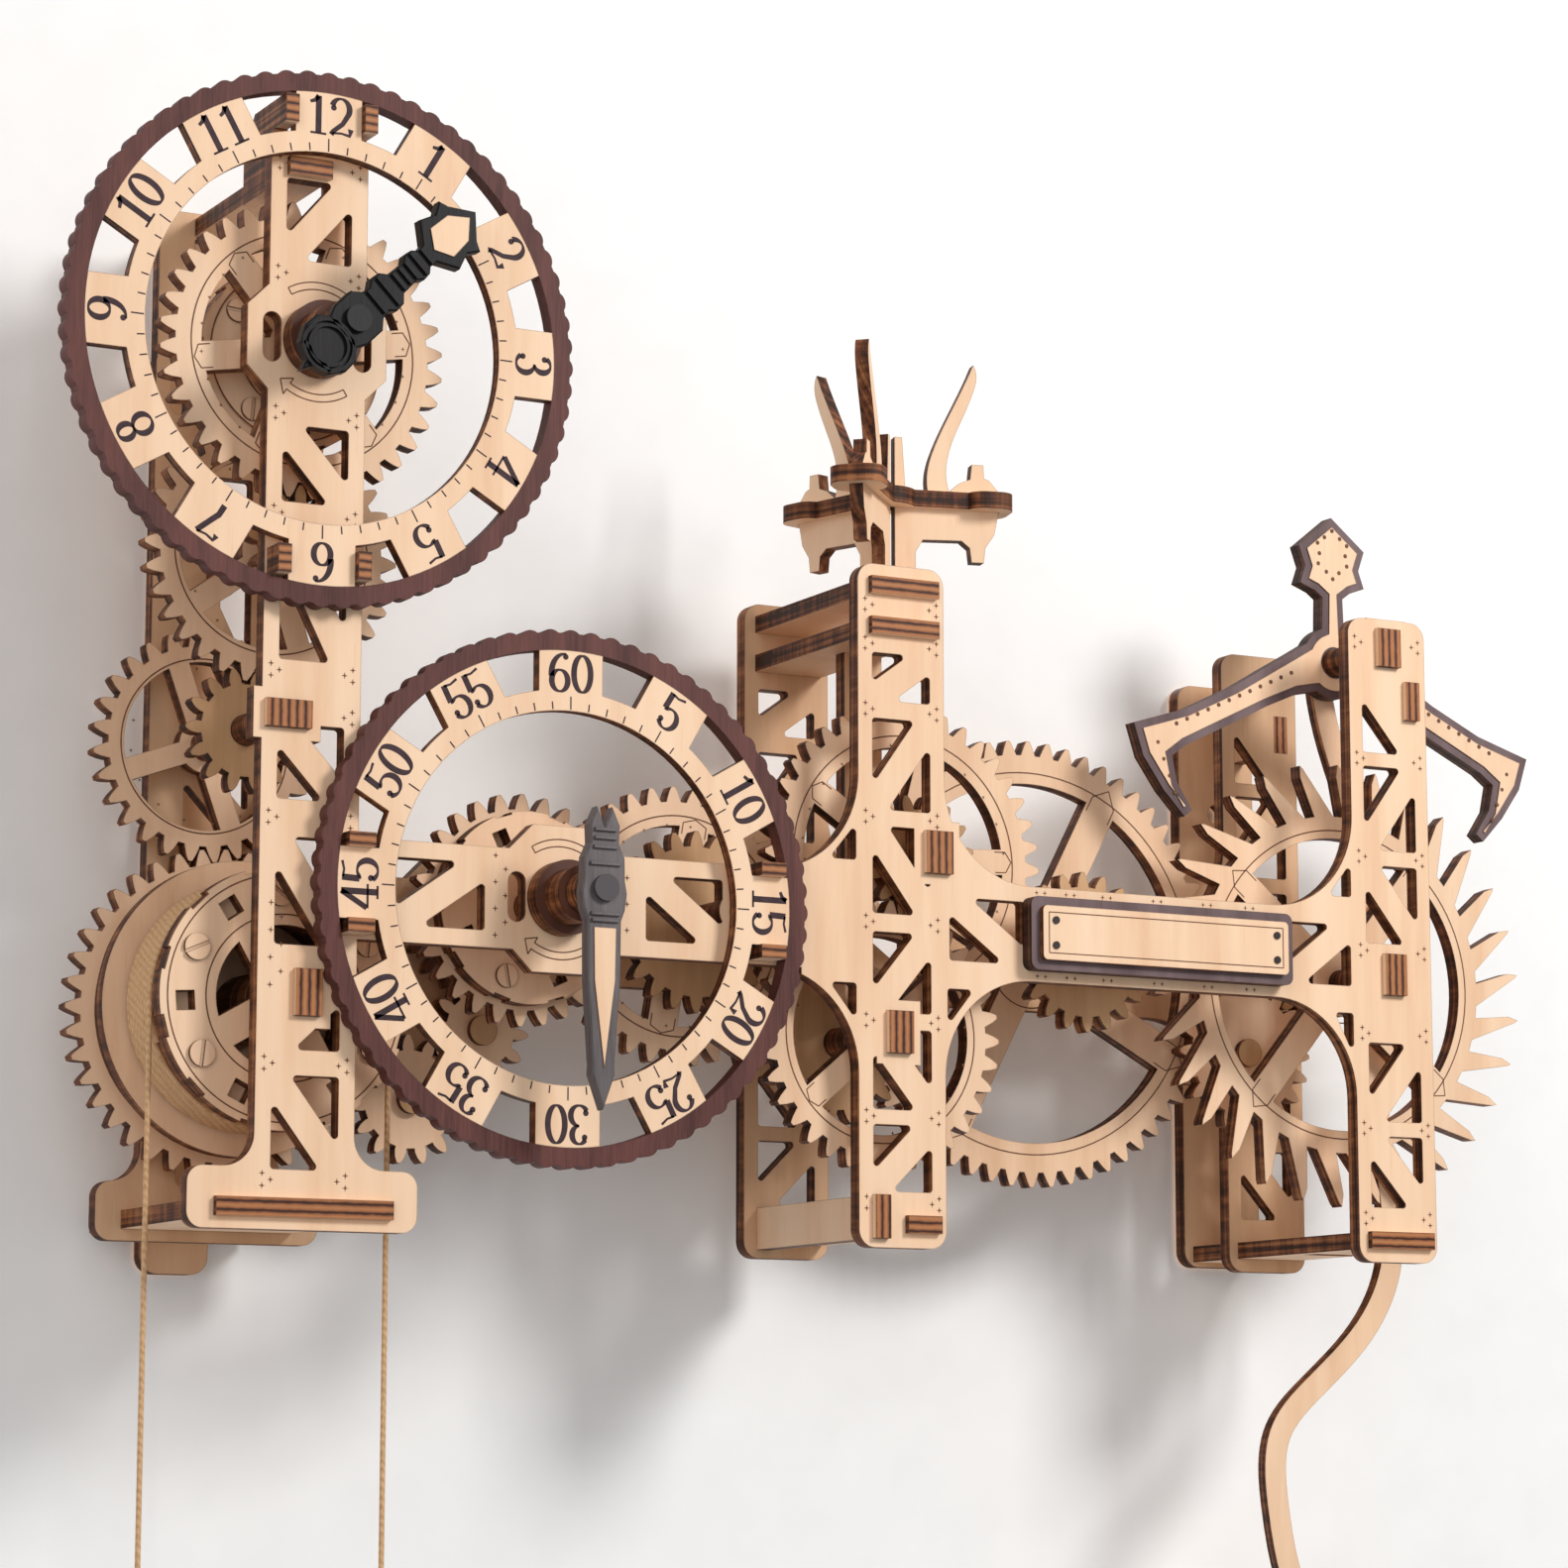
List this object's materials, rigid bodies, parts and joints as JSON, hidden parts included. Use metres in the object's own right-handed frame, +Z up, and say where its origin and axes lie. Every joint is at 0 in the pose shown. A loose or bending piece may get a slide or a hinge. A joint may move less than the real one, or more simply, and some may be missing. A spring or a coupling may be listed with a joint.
{
  "type": "laser-cut plywood wall clock",
  "caption": "Wall clock of interlocking laser-cut plywood: trussed frame, separate hour and minute dials, weight drum, gear train, escape wheel, anchor and pendulum.",
  "frame": {"origin": "on the wall, on the hour tower's centre line, at the level of the towers' bottom ends", "axes": "+Z up, +Y into the wall (the clock stands out of the wall towards -Y), +X to the right as seen from the front"},
  "size_m": [0.3995, 0.1022, 0.3657],
  "materials": {
    "birch_ply": "pale peach birch plywood, laser cut, with burnt dark edges",
    "dark_rim": "plywood stained dark brown-purple",
    "black_stain": "plywood stained black",
    "grey_stain": "plywood stained grey-purple",
    "grey_edged": "pale plywood with a grey-purple border",
    "cord": "twisted natural cord"
  },
  "bodies": {
    "frame": {"bearing_blocks": "birch_ply", "cord_ends": "birch_ply", "dial_brackets": "birch_ply", "finial_blades": "birch_ply", "finial_collar": "birch_ply", "front_plate_left": "birch_ply", "front_plate_right": "birch_ply", "gear_pins": "birch_ply", "hour_dial_face": "birch_ply", "hour_dial_rim": "dark_rim", "left_spacer_boards": "birch_ply", "mid_plate": "birch_ply", "minute_dial_face": "birch_ply", "minute_dial_rim": "dark_rim", "name_board": "grey_stain", "name_plate": "birch_ply", "rear_plate_left": "birch_ply", "rear_plate_right": "birch_ply", "right_spacer_boards": "birch_ply", "splice_plates": "birch_ply", "wall_plates": "birch_ply", "weight_cord": "cord", "winding_cord": "cord"},
    "great": {"great_wheel": "birch_ply", "great_arbor": "birch_ply", "ratchet_clicks": "birch_ply"},
    "drum": {"ratchet_wheel": "birch_ply", "drum_core": "birch_ply", "drum_front_cheek": "birch_ply", "drum_screws": "birch_ply"},
    "idler": {"idler_wheel": "birch_ply", "idler_arbor": "birch_ply"},
    "motion": {"motion_wheel": "birch_ply", "motion_arbor": "birch_ply"},
    "hour": {"hour_wheel": "birch_ply", "hour_arbor": "birch_ply", "hour_clutch": "birch_ply"},
    "hour_pointer": {"hour_hand": "black_stain"},
    "lower_idler": {"lower_idler": "birch_ply"},
    "upper_idler": {"upper_idler": "birch_ply"},
    "minute": {"minute_wheel": "birch_ply", "minute_arbor": "birch_ply", "minute_clutch": "birch_ply"},
    "minute_pointer": {"minute_hand": "grey_stain"},
    "arm": {"arm_wheel": "birch_ply", "arm_arbor": "birch_ply"},
    "lower": {"lower_wheel": "birch_ply", "lower_arbor": "birch_ply"},
    "upper": {"upper_wheel": "birch_ply", "upper_arbor": "birch_ply"},
    "bridge": {"bridge_wheel": "birch_ply", "bridge_arbor": "birch_ply"},
    "fourth": {"fourth_pinion": "birch_ply", "fourth_wheel": "birch_ply"},
    "escape": {"escape_wheel": "birch_ply", "escape_arbor": "birch_ply"},
    "pendulum": {"anchor": "grey_edged", "anchor_arbor": "birch_ply", "pendulum_rod": "birch_ply", "pendulum_bob": "birch_ply"}
  },
  "joints": [
    {"name": "great_spin", "type": "hinge", "parent": "frame", "child": "great", "pos_m": [0, -0.05, 0.05], "axis": [0, -1, 0], "continuous": true},
    {"name": "idler_spin", "type": "hinge", "parent": "frame", "child": "idler", "pos_m": [-0.0055, -0.05, 0.10925], "axis": [0, -1, 0], "continuous": true},
    {"name": "motion_spin", "type": "hinge", "parent": "frame", "child": "motion", "pos_m": [0, -0.05, 0.14912], "axis": [0, -1, 0], "continuous": true},
    {"name": "hour_spin", "type": "hinge", "parent": "frame", "child": "hour", "pos_m": [0, -0.05, 0.19112], "axis": [0, -1, 0], "continuous": true},
    {"name": "lower_idler_spin", "type": "hinge", "parent": "frame", "child": "lower_idler", "pos_m": [0.04502, -0.05, 0.03299], "axis": [0, -1, 0], "continuous": true},
    {"name": "upper_idler_spin", "type": "hinge", "parent": "frame", "child": "upper_idler", "pos_m": [0.06221, -0.05, 0.0492], "axis": [0, -1, 0], "continuous": true},
    {"name": "minute_spin", "type": "hinge", "parent": "frame", "child": "minute", "pos_m": [0.0591, -0.05, 0.0735], "axis": [0, -1, 0], "continuous": true},
    {"name": "arm_spin", "type": "hinge", "parent": "frame", "child": "arm", "pos_m": [0.10285, -0.05, 0.0735], "axis": [0, -1, 0], "continuous": true},
    {"name": "lower_spin", "type": "hinge", "parent": "frame", "child": "lower", "pos_m": [0.14401, -0.05, 0.04857], "axis": [0, -1, 0], "continuous": true},
    {"name": "upper_spin", "type": "hinge", "parent": "frame", "child": "upper", "pos_m": [0.15431, -0.05, 0.09019], "axis": [0, -1, 0], "continuous": true},
    {"name": "bridge_spin", "type": "hinge", "parent": "frame", "child": "bridge", "pos_m": [0.20349, -0.05, 0.0718], "axis": [0, -1, 0], "continuous": true},
    {"name": "fourth_spin", "type": "hinge", "parent": "frame", "child": "fourth", "pos_m": [0.26146, -0.05, 0.05204], "axis": [0, -1, 0], "continuous": true},
    {"name": "escape_spin", "type": "hinge", "parent": "frame", "child": "escape", "pos_m": [0.2815, -0.05, 0.069], "axis": [0, -1, 0], "continuous": true},
    {"name": "drum_winding", "type": "hinge", "parent": "great", "child": "drum", "pos_m": [0, -0.05, 0.05], "axis": [0, -1, 0], "continuous": true},
    {"name": "hour_hand_set", "type": "hinge", "parent": "hour", "child": "hour_pointer", "pos_m": [0, -0.0995, 0.19112], "axis": [0, -1, 0], "continuous": true},
    {"name": "minute_hand_set", "type": "hinge", "parent": "minute", "child": "minute_pointer", "pos_m": [0.0591, -0.0995, 0.0735], "axis": [0, -1, 0], "continuous": true},
    {"name": "pendulum_swing", "type": "hinge", "parent": "frame", "child": "pendulum", "pos_m": [0.2815, -0.05, 0.149], "axis": [0, -1, 0], "range_deg": [-3, 3]}
  ],
  "couplings": [
    {"joint": "idler_spin", "follows": "great_spin", "ratio": -1.4286},
    {"joint": "motion_spin", "follows": "great_spin", "ratio": 0.625},
    {"joint": "hour_spin", "follows": "great_spin", "ratio": -0.20833},
    {"joint": "lower_idler_spin", "follows": "great_spin", "ratio": -2.6667},
    {"joint": "upper_idler_spin", "follows": "great_spin", "ratio": 3.3333},
    {"joint": "minute_spin", "follows": "great_spin", "ratio": -2.5},
    {"joint": "arm_spin", "follows": "great_spin", "ratio": 3.1818},
    {"joint": "lower_spin", "follows": "great_spin", "ratio": -5.5682},
    {"joint": "upper_spin", "follows": "great_spin", "ratio": 12.621},
    {"joint": "bridge_spin", "follows": "great_spin", "ratio": -25.242},
    {"joint": "fourth_spin", "follows": "great_spin", "ratio": 151.45},
    {"joint": "escape_spin", "follows": "great_spin", "ratio": -302.91}
  ]
}
